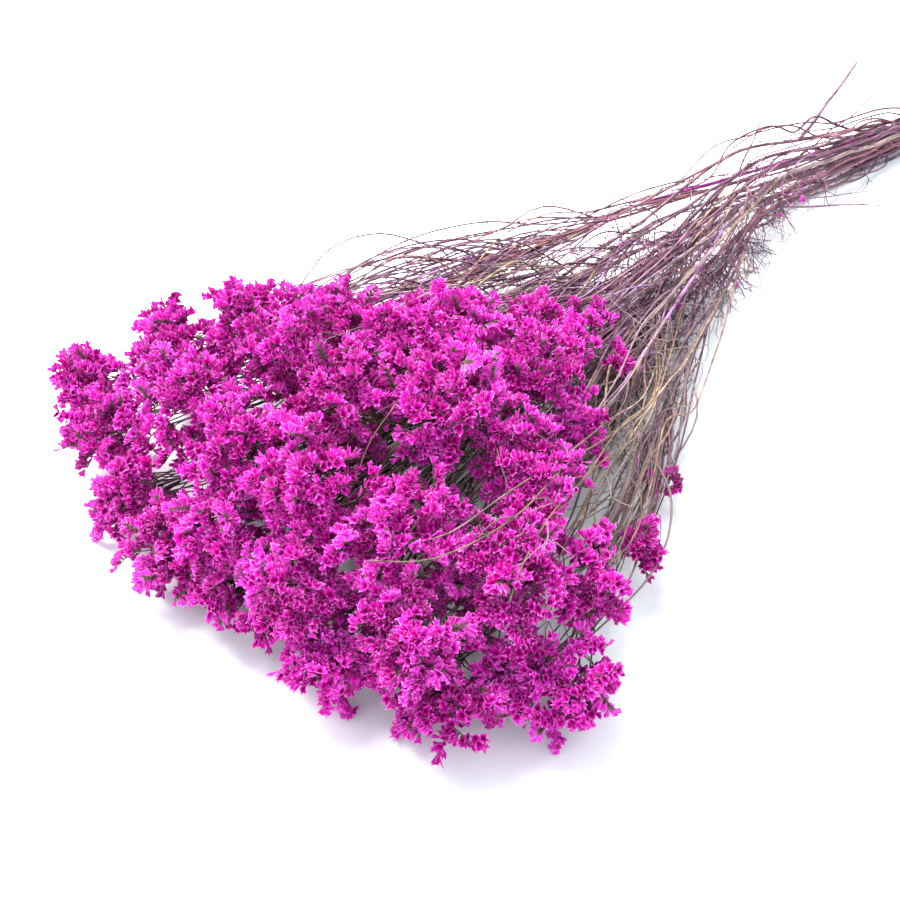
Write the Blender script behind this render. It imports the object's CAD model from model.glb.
"""A bunch of dyed dried statice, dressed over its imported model.

The bunch lies on a pale floor. Each stem is one piece with all its branches, thin feeders, side
twigs and dry scale leaves; each flower head is one piece made of papery funnel-shaped florets;
a rubber band holds the cut ends. Places are in metres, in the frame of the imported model, and most
sizes are written in millimetres times MM.
"""
from __future__ import annotations

import logging
import math
import random
from dataclasses import dataclass, field
from enum import Enum
from functools import lru_cache

import bpy
import numpy as np
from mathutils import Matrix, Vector


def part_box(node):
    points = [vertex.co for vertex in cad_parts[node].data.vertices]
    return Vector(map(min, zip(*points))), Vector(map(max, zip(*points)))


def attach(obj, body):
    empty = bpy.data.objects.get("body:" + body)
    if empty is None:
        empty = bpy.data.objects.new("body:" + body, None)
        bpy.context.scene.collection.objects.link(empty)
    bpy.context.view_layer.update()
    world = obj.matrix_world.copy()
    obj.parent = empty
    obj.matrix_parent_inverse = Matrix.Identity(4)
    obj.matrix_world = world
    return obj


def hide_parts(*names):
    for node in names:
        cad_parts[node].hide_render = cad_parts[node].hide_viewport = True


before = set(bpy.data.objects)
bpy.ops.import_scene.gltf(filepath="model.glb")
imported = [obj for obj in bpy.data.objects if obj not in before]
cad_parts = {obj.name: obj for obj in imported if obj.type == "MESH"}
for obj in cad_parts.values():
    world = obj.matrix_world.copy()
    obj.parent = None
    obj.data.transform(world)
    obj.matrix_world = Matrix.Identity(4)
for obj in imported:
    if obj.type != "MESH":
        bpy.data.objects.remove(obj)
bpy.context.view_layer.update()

MM = 0.001
UP = np.array([0.0, 0.0, 1.0])
LEAF_FACES = np.array([(0, 2, 1), (0, 3, 2), (1, 2, 3), (0, 1, 3)])
LAYOUT_SEED = 41
FLOWER_SEED = 300
STEM_SEED = 900
log = logging.getLogger("statice")

Pair = tuple[float, float]
Triple = tuple[float, float, float]
Stops = tuple[tuple[float, Triple], ...]
Socket = bpy.types.NodeSocket

# Stray twigs: the stem each one leaves and where, where it ends, and its radius, in millimetres
STRAYS: list[tuple[int, float, Triple, float]] = [
    (9, 20, (-88, -17, 47), 1.35), (10, 104, (66, -2, 52), 0.6), (4, 70, (17, 65, 4), 0.6),
    (4, 60, (12, 58, 10), 0.4), (5, 10, (-74, 6, 34), 0.6),
]

# Thin branches that cross over the front heads: the stem each one leaves and where, its first and
# last turn in degrees, where it ends, and how high it arches, in millimetres
CROSSINGS: list[tuple[int, float, float, float, float, float]] = [
    (8, 225, 17.4, 13.4, 487, 76), (12, 245, 18.0, 12.9, 499, 77), (8, 210, 18.8, 15.9, 480, 71),
    (8, 240, 18.6, 19.2, 465, 61), (12, 215, 18.3, 18.3, 491, 75),
]

# Each stem's column and row in the fan, then its heads as
# (turn in degrees, reach, height, radius in millimetres), the first one on the stem's own tip
STEMS: list[tuple[int, int, list[tuple[float, float, float, float]]]] = [
    (0, 0, [(-11.0, 480, 21, 20), (-6.5, 486, 21, 21), (-8.2, 442, 22, 18)]),
    (1, 0, [(-2.0, 498, 20, 20), (2.5, 502, 21, 21), (0.2, 452, 25, 19)]),
    (2, 0, [(7.0, 499, 22, 22), (11.5, 500, 22, 22), (9.2, 450, 31, 19)]),
    (3, 0, [(15.8, 495, 22, 22), (19.5, 476, 21, 21), (21.0, 404, 20, 11), (20.9, 357, 13, 7)]),
    (0, 1, [(-9.8, 444, 38, 16), (-5.2, 459, 52, 21), (-7.2, 414, 47, 17)]),
    (1, 1, [(-0.5, 470, 54, 22), (4.0, 474, 57, 21), (4.8, 499, 42, 17), (4.8, 426, 36, 18)]),
    (2, 1, [(8.3, 478, 62, 22), (12.6, 478, 57, 22), (10.2, 503, 46, 17)]),
    (3, 1, [(17.0, 470, 56, 22), (19.6, 452, 44, 17), (15.0, 502, 49, 17), (14.4, 456, 26, 18)]),
    (0, 2, [(-2.2, 428, 64, 22), (-4.2, 385, 46, 15), (-0.6, 392, 56, 18), (-1.5, 347, 44, 9)]),
    (1, 2, [(2.4, 436, 73, 22), (6.6, 441, 75, 22), (4.4, 396, 66, 18), (5.0, 357, 55, 14)]),
    (2, 2, [(11.3, 432, 80, 22), (8.8, 398, 76, 21), (13.2, 396, 77, 20), (9.8, 352, 62, 17)]),
    (3, 2, [(15.6, 432, 67, 20), (15.8, 392, 54, 13), (12.5, 350, 57, 12), (11.0, 318, 56, 9),
            (14.4, 322, 42, 7)]),
]


def unit(vector: np.ndarray) -> np.ndarray:
    """The vector at length one."""
    return vector / np.linalg.norm(vector)


def units(vectors: np.ndarray) -> np.ndarray:
    """Each row at length one."""
    return vectors / np.maximum(np.linalg.norm(vectors, axis=-1, keepdims=True), 1e-12)


def across(way: np.ndarray) -> tuple[np.ndarray, np.ndarray]:
    """Two directions square to a way and to each other.

    Args:
        way: A direction of length one.

    Returns:
        The two directions.
    """
    other = np.array([0.31, 0.52, 0.79]) if abs(way[2]) < 0.9 else np.array([1.0, 0.2, 0.0])
    side = unit(np.cross(way, other))
    return side, np.cross(way, side)


def turned(way: np.ndarray, angle: float) -> np.ndarray:
    """The direction square to a way that lies at an angle round it."""
    side, up = across(way)
    return math.cos(angle) * side + math.sin(angle) * up


def nearest(values: np.ndarray, wanted: float) -> int:
    """The number of the value that is nearest to the wanted one."""
    return int(np.argmin(np.abs(values - wanted)))


def closest_between(
    start_a: np.ndarray, end_a: np.ndarray, start_b: np.ndarray, end_b: np.ndarray
) -> tuple[np.ndarray, np.ndarray, np.ndarray]:
    """Where two sets of segments come closest, row by row.

    Args:
        start_a: First ends of the first set.
        end_a: Second ends of the first set.
        start_b: First ends of the second set.
        end_b: Second ends of the second set.

    Returns:
        The shares along both sets, and the gap from the second set to the first.
    """
    run_a = end_a - start_a
    run_b = end_b - start_b
    between = start_a - start_b
    aa = np.sum(run_a * run_a, axis=1)
    bb = np.sum(run_b * run_b, axis=1)
    ab = np.sum(run_a * run_b, axis=1)
    along_a = np.sum(run_a * between, axis=1)
    along_b = np.sum(run_b * between, axis=1)
    spread = np.maximum(aa * bb - ab * ab, 1e-16)
    share_a = np.clip((ab * along_b - along_a * bb) / spread, 0, 1)
    share_b = np.clip((ab * share_a + along_b) / bb, 0, 1)
    share_a = np.clip((ab * share_b - along_a) / aa, 0, 1)
    gap = (start_a + run_a * share_a[:, None]) - (start_b + run_b * share_b[:, None])
    return share_a, share_b, gap


def bezier(
    start: np.ndarray, start_way: np.ndarray, end: np.ndarray, end_way: np.ndarray, share: float
) -> np.ndarray:
    """A point on the curve that leaves start along start_way and reaches end along end_way.

    Args:
        start: First point of the curve.
        start_way: Direction in which the curve leaves it.
        end: Last point of the curve.
        end_way: Direction in which the curve reaches it.
        share: How far along the curve, from 0 to 1.

    Returns:
        The point.
    """
    pull = np.linalg.norm(end - start) / 3
    first = start + start_way * pull
    second = end - end_way * pull
    rest = 1 - share
    return (rest**3 * start + 3 * rest**2 * share * first
            + 3 * rest * share**2 * second + share**3 * end)


def smooth_line(knots: np.ndarray, spacing: float) -> np.ndarray:
    """A smooth line through the knots.

    Args:
        knots: Points that the line passes through.
        spacing: Wanted distance between the points of the line.

    Returns:
        The points of the line, the first and last knots among them.
    """
    before = np.vstack([2 * knots[0] - knots[1], knots[:-1]])
    after = np.vstack([knots[1:], 2 * knots[-1] - knots[-2]])
    length = np.linalg.norm(np.diff(knots, axis=0), axis=1)
    line = [knots[:1]]
    for at in range(len(knots) - 1):
        count = max(1, round(length[at] / spacing))
        share = (np.arange(1, count + 1) / count)[:, None]
        here, there = knots[at], knots[at + 1]
        # Tangents are scaled to this span, so uneven spans don't loop or overshoot
        leave = units((after[at] - before[at])[None])[0] * length[at]
        arrive = units((after[at + 1] - here)[None])[0] * length[at]
        square, cube = share**2, share**3
        line.append((2 * cube - 3 * square + 1) * here + (cube - 2 * square + share) * leave
                    + (3 * square - 2 * cube) * there + (cube - square) * arrive)
    return np.vstack(line)


@lru_cache(maxsize=None)
def tube_faces(rings: int, sides: int) -> np.ndarray:
    """Triangles of a tube whose rings are followed by its two end points.

    Args:
        rings: Number of rings.
        sides: Points in each ring.

    Returns:
        Rows of three point numbers.
    """
    ring, corner = np.meshgrid(np.arange(rings - 1), np.arange(sides), indexing="ij")
    low = (ring * sides + corner).ravel()
    low_next = (ring * sides + (corner + 1) % sides).ravel()
    walls = np.concatenate([np.stack([low, low_next, low_next + sides], 1),
                            np.stack([low, low_next + sides, low + sides], 1)])
    edge = np.arange(sides)
    after = (edge + 1) % sides
    foot, tip = rings * sides, rings * sides + 1
    last = (rings - 1) * sides
    foot_cap = np.stack([after, edge, np.full(sides, foot)], 1)
    tip_cap = np.stack([last + edge, last + after, np.full(sides, tip)], 1)
    return np.concatenate([walls, foot_cap, tip_cap])


class MeshBuffer:
    """Gathers triangles with a value or more for each point, and makes one piece of them."""

    foot_bulge = 0.15
    tip_bulge = 0.5

    def __init__(self, *names: str) -> None:
        """Start empty.

        Args:
            names: Names of the values that the material reads.
        """
        self.names = names
        self.places: list[np.ndarray] = []
        self.faces: list[np.ndarray] = []
        self.slots: list[np.ndarray] = []
        self.values: dict[str, list[np.ndarray]] = {name: [] for name in names}
        self.count = 0

    def add(self, places: np.ndarray, faces: np.ndarray, slot: int = 0,
            **values: float | np.ndarray) -> None:
        """Add a closed form.

        Args:
            places: Its points.
            faces: Rows of three point numbers.
            slot: Number of its material.
            values: A value or a row of values for the points, by name.
        """
        self.places.append(places)
        self.faces.append(faces + self.count)
        self.slots.append(np.full(len(faces), slot, dtype=np.int32))
        for name in self.names:
            value = np.broadcast_to(values.get(name, 0.0), len(places))
            self.values[name].append(value.astype(np.float32))
        self.count += len(places)

    def add_tube(self, line: np.ndarray, radii: np.ndarray, sides: int, ribs: float = 0.0,
                 **values: float | np.ndarray) -> None:
        """Add a closed tube along a line.

        Args:
            line: Points along the middle of the tube.
            radii: Radius at each of them.
            sides: Points round the tube.
            ribs: Share by which every second edge stands out.
            values: A value or a row of values, one for each point of the line, by name.
        """
        count = len(line)
        ways = np.empty_like(line)
        ways[1:-1] = line[2:] - line[:-2]
        ways[0] = line[1] - line[0]
        ways[-1] = line[-1] - line[-2]
        ways = units(ways)
        side = across(ways[0])[0]
        frames = np.empty_like(line)
        for at, way in enumerate(ways):
            side = side - way * np.dot(side, way)
            side /= np.linalg.norm(side)
            frames[at] = side
        ups = np.cross(ways, frames)
        angle = 2 * math.pi * np.arange(sides) / sides
        lift = 1 + ribs * np.where(np.arange(sides) % 2 == 0, 1.0, -1.0)
        ring = (np.cos(angle)[None, :, None] * frames[:, None] + np.sin(angle)[None, :, None]
                * ups[:, None]) * lift[None, :, None]
        places = line[:, None] + np.asarray(radii)[:, None, None] * ring
        ends = np.stack([line[0] - ways[0] * radii[0] * self.foot_bulge,
                         line[-1] + ways[-1] * radii[-1] * self.tip_bulge])
        spread = {}
        for name, value in values.items():
            row = np.broadcast_to(value, count)
            spread[name] = np.concatenate([np.repeat(row, sides), row[[0, -1]]])
        self.add(np.concatenate([places.reshape(-1, 3), ends]), tube_faces(count, sides), **spread)

    def make(self, name: str, node: str, slot: str, materials: list[bpy.types.Material],
             shift: np.ndarray, smooth: bool = True, lowest: float = 0.0) -> bpy.types.Object:
        """Make the piece and let it stand for its node.

        Args:
            name: Name of the piece.
            node: The node that it replaces.
            slot: Its material slot.
            materials: Its materials.
            shift: From the fan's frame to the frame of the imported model.
            smooth: Whether the shading runs smoothly over its edges.
            lowest: The height under which it has no point.

        Returns:
            The piece, linked to the scene.
        """
        places = np.concatenate(self.places)
        places[:, 2] = np.maximum(places[:, 2], lowest)
        places = places + shift
        faces = np.concatenate(self.faces).astype(np.int32)
        mesh = bpy.data.meshes.new(name)
        mesh.vertices.add(len(places))
        mesh.vertices.foreach_set("co", places.astype(np.float32).ravel())
        mesh.loops.add(faces.size)
        mesh.loops.foreach_set("vertex_index", faces.ravel())
        mesh.polygons.add(len(faces))
        mesh.polygons.foreach_set("loop_start", np.arange(0, faces.size, 3, dtype=np.int32))
        mesh.polygons.foreach_set("material_index", np.concatenate(self.slots))
        mesh.polygons.foreach_set("use_smooth", np.full(len(faces), smooth))
        for key in self.names:
            layer = mesh.attributes.new(key, "FLOAT", "POINT")
            layer.data.foreach_set("value", np.concatenate(self.values[key]))
        for material in materials:
            mesh.materials.append(material)
        mesh.update(calc_edges=True)
        piece = bpy.data.objects.new(name, mesh)
        bpy.context.scene.collection.objects.link(piece)
        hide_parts(node)
        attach(piece, "root")
        return piece


class Sheet:
    """A material's node tree, written down node by node."""

    def __init__(self, name: str, fallback: Triple) -> None:
        """Start with a Principled shader.

        Args:
            name: Name of the material.
            fallback: Plain colour for viewers that read no nodes.
        """
        self.material = bpy.data.materials.new(name)
        self.material.use_nodes = True
        self.material.diffuse_color = (*fallback, 1.0)
        self.tree = self.material.node_tree
        self.shader = self.tree.nodes["Principled BSDF"]
        self.shader.inputs["Base Color"].default_value = (*fallback, 1.0)

    def node(self, kind: str, inputs: dict | None = None, **settings: object) -> bpy.types.Node:
        """Add a node.

        Args:
            kind: Type of the node.
            inputs: Socket name or number to a value or to another node's output.
            settings: The node's own settings.

        Returns:
            The node.
        """
        made = self.tree.nodes.new(kind)
        for key, value in settings.items():
            setattr(made, key, value)
        for key, value in (inputs or {}).items():
            self.plug(made.inputs[key], value)
        return made

    def plug(self, socket: Socket, value: object) -> None:
        """Set a socket to a value, or link an output to it.

        Args:
            socket: The socket.
            value: A number, a colour, a vector or an output.
        """
        if isinstance(value, bpy.types.NodeSocket):
            self.tree.links.new(value, socket)
        else:
            socket.default_value = value

    def value(self, name: str) -> Socket:
        """The output of a value that the mesh carries for each point."""
        return self.node("ShaderNodeAttribute", attribute_name=name).outputs["Fac"]

    def noise(self, scale: float, detail: float, stretch: Triple = (1, 1, 1)) -> Socket:
        """Noise over the object's own places.

        Args:
            scale: Ripples in a metre.
            detail: Finer layers.
            stretch: Scale along each axis.

        Returns:
            The output, from 0 to 1.
        """
        places = self.node("ShaderNodeTexCoord").outputs["Object"]
        mapped = self.node("ShaderNodeMapping", {"Vector": places, "Scale": stretch})
        made = self.node("ShaderNodeTexNoise", {"Vector": mapped.outputs[0], "Scale": scale,
                                                "Detail": detail, "Roughness": 0.55})
        return made.outputs["Fac"]

    def remap(self, value: object, low: float, high: float, to_low: float = 0.0,
              to_high: float = 1.0) -> Socket:
        """Move a value from one range to another, smoothly and without overshoot.

        Args:
            value: The value.
            low: Where the first range starts.
            high: Where it ends.
            to_low: Where the new range starts.
            to_high: Where it ends.

        Returns:
            The output.
        """
        made = self.node("ShaderNodeMapRange", {
            "Value": value, "From Min": low, "From Max": high, "To Min": to_low,
            "To Max": to_high}, interpolation_type="SMOOTHSTEP")
        return made.outputs[0]

    def join(self, first: object, second: object, how: str = "MULTIPLY") -> Socket:
        """Join two values.

        Args:
            first: First value.
            second: Second value.
            how: The operation.

        Returns:
            The output.
        """
        return self.node("ShaderNodeMath", {0: first, 1: second}, operation=how).outputs[0]

    def mix(self, share: object, first: object, second: object,
            how: str = "MIX") -> Socket:
        """Mix two colours.

        Args:
            share: How much of the second one shows.
            first: First colour.
            second: Second colour.
            how: Blend type.

        Returns:
            The mixed colour.
        """
        made = self.node("ShaderNodeMix", data_type="RGBA", blend_type=how)
        self.plug(made.inputs[0], share)
        self.plug(made.inputs[6], (*first, 1.0) if isinstance(first, tuple) else first)
        self.plug(made.inputs[7], (*second, 1.0) if isinstance(second, tuple) else second)
        return made.outputs[2]

    def shade(self, colour: Socket, grey: Socket) -> Socket:
        """The colour, darker or lighter by a grey value."""
        tone = self.node("ShaderNodeCombineColor", {0: grey, 1: grey, 2: grey}).outputs[0]
        return self.mix(1.0, colour, tone, "MULTIPLY")

    def ramp(self, value: object, stops: Stops) -> Socket:
        """Colours along a value.

        Args:
            value: The value, from 0 to 1.
            stops: Places and colours.

        Returns:
            The colour.
        """
        made = self.node("ShaderNodeValToRGB", {"Fac": value})
        ramp = made.color_ramp
        while len(ramp.elements) < len(stops):
            ramp.elements.new(0.5)
        for element, (place, colour) in zip(ramp.elements, stops):
            element.position = place
            element.color = (*colour, 1.0)
        return made.outputs["Color"]

    def finish(self, colour: object, roughness: object, height: object, strength: float,
               depth: float) -> bpy.types.Material:
        """Plug in the colour, the roughness and the bump.

        Args:
            colour: Colour of the surface.
            roughness: Its roughness.
            height: Height of the relief.
            strength: Strength of the relief.
            depth: Its depth in metres.

        Returns:
            The material.
        """
        bump = self.node("ShaderNodeBump", {"Height": height, "Strength": strength,
                                            "Distance": depth})
        for name, value in (("Base Color", colour), ("Roughness", roughness),
                            ("Normal", bump.outputs[0])):
            self.plug(self.shader.inputs[name], value)
        return self.material


@dataclass(frozen=True)
class FloretFinish:
    """Dyed papery calyx: hot magenta, paler at the lobe edges, deep in the throat."""

    dye: Stops = (
        (0.0, (0.36, 0.002, 0.21)), (0.35, (0.66, 0.005, 0.41)), (0.7, (0.86, 0.014, 0.60)),
        (1.0, (0.88, 0.085, 0.75)))
    edge: Triple = (0.97, 0.50, 0.94)
    throat: Triple = (0.28, 0.001, 0.12)
    tube: Triple = (0.76, 0.32, 0.70)
    base: Triple = (0.17, 0.125, 0.080)
    roughness: Pair = (0.55, 0.8)

    def make(self) -> bpy.types.Material:
        """Make the dyed paper of the florets.

        Returns:
            The material, with the values tint, along, inside and rib of each mesh in it.
        """
        sheet = Sheet("dyed_floret", self.dye[2][1])
        along, inside = sheet.value("along"), sheet.value("inside")
        fine = sheet.noise(620, 3)
        tint = sheet.join(sheet.value("tint"), sheet.join(fine, 0.5, "SUBTRACT"), "ADD")
        colour = sheet.ramp(tint, self.dye)
        outer = sheet.remap(inside, 0.1, 0.5, 1.0, 0.0)
        rib = sheet.value("rib")
        ribbed = sheet.remap(rib, 0.3, 1.0, 0.1, 0.9)
        colour = sheet.mix(sheet.join(outer, ribbed), colour, self.tube)
        deep = sheet.join(sheet.remap(inside, 0.52, 0.9), sheet.remap(rib, 0.6, 0.0, 0.0, 0.6),
                          "MAXIMUM")
        colour = sheet.mix(deep, colour, self.throat)
        ridge = sheet.join(sheet.remap(rib, 0.55, 1.0), sheet.remap(along, 0.45, 0.95))
        pale = sheet.join(sheet.remap(along, 0.91, 1.0, 0.0, 0.84), sheet.join(ridge, 0.48),
                          "MAXIMUM")
        uneven = sheet.remap(sheet.noise(260, 2), 0.32, 0.62, 0.25, 1.0)
        colour = sheet.mix(sheet.join(pale, uneven), colour, self.edge)
        foot = sheet.join(sheet.remap(along, 0.50, 0.18), outer)
        colour = sheet.mix(foot, colour, self.base)
        colour = sheet.shade(colour, sheet.remap(sheet.noise(95, 2), 0.3, 0.75, 0.8, 1.12))
        roughness = sheet.remap(fine, 0.3, 0.7, *self.roughness)
        creases = sheet.noise(1500, 2)
        sheet.shader.inputs["Specular IOR Level"].default_value = 0.06
        return sheet.finish(colour, roughness, creases, 0.5, 0.12 * MM)


@dataclass(frozen=True)
class StemFinish:
    """Dry stems: purple-brown, mauve, rust, straw and a few dyed ones, olive near the heads."""

    bark: Stops = (
        (0.0, (0.095, 0.038, 0.065)), (0.35, (0.160, 0.068, 0.112)), (0.55, (0.225, 0.138, 0.195)),
        (0.7, (0.260, 0.094, 0.112)), (0.82, (0.265, 0.205, 0.128)), (0.92, (0.315, 0.183, 0.340)),
        (1.0, (0.340, 0.015, 0.250)))
    olive: Triple = (0.080, 0.058, 0.042)
    knot: Triple = (0.055, 0.024, 0.035)
    pith: Triple = (0.56, 0.50, 0.42)

    def make(self) -> bpy.types.Material:
        """Make the bark of the stems, branches and twigs.

        Returns:
            The material, with the values tint, olive, knot and pith of each mesh in it.
        """
        sheet = Sheet("dry_stem", self.bark[1][1])
        streaks = sheet.noise(420, 4, (0.12, 1, 1))
        blotches = sheet.noise(70, 3)
        colour = sheet.ramp(sheet.value("tint"), self.bark)
        colour = sheet.shade(colour, sheet.remap(streaks, 0.35, 0.75, 0.55, 1.6))
        green = sheet.join(sheet.value("olive"), sheet.remap(blotches, 0.3, 0.7, 0.55, 1.0))
        colour = sheet.mix(green, colour, self.olive)
        for name, over in (("knot", self.knot), ("pith", self.pith)):
            colour = sheet.mix(sheet.value(name), colour, over)
        roughness = sheet.remap(blotches, 0.3, 0.7, 0.62, 0.88)
        sheet.shader.inputs["Specular IOR Level"].default_value = 0.25
        return sheet.finish(colour, roughness, streaks, 0.6, 0.15 * MM)


@dataclass(frozen=True)
class BandFinish:
    """Tan natural rubber with a dusty bloom."""

    rubber: Triple = (0.46, 0.31, 0.17)
    bloom: Triple = (0.62, 0.50, 0.36)

    def make(self) -> bpy.types.Material:
        """Make the rubber of the band.

        Returns:
            The material.
        """
        sheet = Sheet("tan_rubber", self.rubber)
        cloud = sheet.noise(160, 4)
        grain = sheet.noise(900, 3)
        colour = sheet.mix(sheet.remap(cloud, 0.42, 0.7, 0.0, 0.7), self.rubber, self.bloom)
        roughness = sheet.remap(grain, 0.3, 0.7, 0.45, 0.7)
        return sheet.finish(colour, roughness, grain, 0.35, 0.08 * MM)


@dataclass(frozen=True)
class FloorFinish:
    """Smooth white board."""

    white: Triple = (0.86, 0.87, 0.89)
    shade: Triple = (0.83, 0.845, 0.87)

    def make(self) -> bpy.types.Material:
        """Make the white of the board under the bunch.

        Returns:
            The material.
        """
        sheet = Sheet("white_board", self.white)
        colour = sheet.mix(sheet.noise(6, 2), self.white, self.shade)
        sheet.shader.inputs["Specular IOR Level"].default_value = 0.2
        return sheet.finish(colour, 0.8, sheet.noise(350, 3), 0.12, 0.3 * MM)


@dataclass(frozen=True)
class FanPlan:
    """Sizes of the fan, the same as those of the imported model."""

    stem_radius: float = 1.5 * MM
    stem_tip_radius: float = 0.85 * MM
    branch_radius: float = 1.0 * MM
    branch_tip_radius: float = 0.7 * MM
    band_behind_waist: float = 165 * MM
    cut_behind_waist: float = 203 * MM
    cut_unevenness: float = 5 * MM
    spacing_along: float = 52 * MM
    straight_end: float = 10 * MM
    crowd_to_tip: float = 1.45
    wander: float = 3.0 * MM
    columns: int = 4
    rows: int = 3
    waist: Pair = (18 * MM, 12 * MM)
    waist_slot: Triple = (5.6 * MM, 8.5 * MM, 8 * MM)
    tail_turn: float = math.radians(8)
    bow_behind_waist: float = 92 * MM
    bow_slot: Triple = (8.5 * MM, 9 * MM, 6 * MM)
    row_rises: Triple = (0.05, 0.2, 0.33)
    far_side_swing: float = 0.12
    far_side_rise: float = 0.05
    first_fork: float = 70 * MM
    fork_step: float = 60 * MM
    touch_gap: float = 0.3 * MM
    stem_clearance: float = 0.8 * MM
    head_clear_share: float = 0.68
    relax_steps: int = 260
    band_width: float = 5.0 * MM
    band_thickness: float = 1.2 * MM
    seat_share: float = 0.82
    low_head: float = 20 * MM
    high_head: float = 80 * MM
    low_lift: float = math.radians(4)
    high_lift: float = math.radians(58)
    near_turns: Triple = (math.radians(25), math.radians(21.5),
                                              math.radians(21.5))
    near_reaches: Triple = (200 * MM, 265 * MM, 345 * MM)
    far_turns: Pair = (math.radians(-6.5), math.radians(-13.5))
    far_reaches: Pair = (160 * MM, 350 * MM)
    far_lean: Pair = (35 * MM, 2.2)
    free_reach: float = 120 * MM
    twig_reach: float = 490 * MM

    def behind_waist(self, distance: float, side: float, level: float) -> np.ndarray:
        """A place in the tail of the bunch, which swings aside behind the waist.

        Args:
            distance: How far behind the waist.
            side: How far to the side.
            level: Height above the floor.

        Returns:
            The place in the fan's frame.
        """
        back = distance * math.cos(self.tail_turn) - side * math.sin(self.tail_turn)
        aside = distance * math.sin(self.tail_turn) + side * math.cos(self.tail_turn)
        return np.array([self.waist[0] - back, self.waist[1] + aside, level])

    def holds(self, points: np.ndarray) -> bool:
        """Whether a fine twig stays between the outer stems and heads of the fan.

        Args:
            points: Points along the twig.

        Returns:
            True if it does.
        """
        reach = np.linalg.norm(points[:, :2], axis=1)
        turn = np.arctan2(points[:, 1], points[:, 0])
        far = np.interp(reach, self.far_reaches, self.far_turns)
        far = far + np.maximum(points[:, 2] - self.far_lean[0], 0) * self.far_lean[1]
        outside = (turn > np.interp(reach, self.near_reaches, self.near_turns)) | (turn < far)
        return not np.any(outside & (reach > self.free_reach) | (reach > self.twig_reach))

    def band_slot(self, column: int, row: int) -> Pair:
        """Where a stem passes through the band.

        Args:
            column: Its column.
            row: Its row.

        Returns:
            Its side and level.
        """
        pitch = 2 * self.stem_radius + self.touch_gap
        shift = pitch / 4 if row % 2 else -pitch / 4
        side = (column - (self.columns - 1) / 2) * pitch + shift
        lowest = self.band_thickness + self.touch_gap + self.stem_radius
        return side, lowest + row * pitch * math.sin(math.radians(60))

    def open_slot(self, column: int, row: int,
                  slot: Triple) -> Pair:
        """Where a stem crosses a place in the open.

        Args:
            column: Its column.
            row: Its row.
            slot: Pitch of the columns, pitch of the rows, and lowest level.

        Returns:
            Its side and level.
        """
        side = (column - (self.columns - 1) / 2) * slot[0] + (row - 1) * slot[0] / 4
        return side, slot[2] + row * slot[1]


@dataclass
class Head:
    """A flower head: its middle, its radius, and the way it points."""

    name: str
    stem: int
    radius: float
    centre: np.ndarray
    axis: np.ndarray
    seat: np.ndarray

    @classmethod
    def place(cls, name: str, stem: int, row: tuple[float, float, float, float], plan: FanPlan,
              draw: random.Random) -> Head:
        """Place a head in the fan.

        Args:
            name: Name of its node.
            stem: Number of its stem.
            row: Turn in degrees, reach, height and radius in millimetres.
            plan: Sizes of the fan.
            draw: Random draws of the layout.

        Returns:
            The head.
        """
        turn, reach, height, radius = row
        angle = math.radians(turn)
        centre = np.array([reach * MM * math.cos(angle), reach * MM * math.sin(angle), height * MM])
        share = (height * MM - plan.low_head) / (plan.high_head - plan.low_head)
        share = min(max(share, 0.0), 1.0)
        lift = plan.low_lift + share * (plan.high_lift - plan.low_lift)
        lift += math.radians(draw.uniform(-7, 7))
        yaw = math.radians(turn * 1.35 + draw.uniform(-14, 14))
        flat = math.cos(lift)
        axis = np.array([flat * math.cos(yaw), flat * math.sin(yaw), math.sin(lift)])
        seat = centre - axis * radius * MM * plan.seat_share
        return cls(name, stem, radius * MM, centre, axis, seat)


@dataclass
class Path:
    """A stem or a branch: the numbers of its points, its head and its two radii."""

    stem: int
    numbers: list[int]
    head: Head
    thick: float
    thin: float

    def radii(self) -> list[float]:
        """The radius at each of its points."""
        steps = len(self.numbers) - 1
        return [self.thick + (self.thin - self.thick) * at / steps for at in range(steps + 1)]


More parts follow.
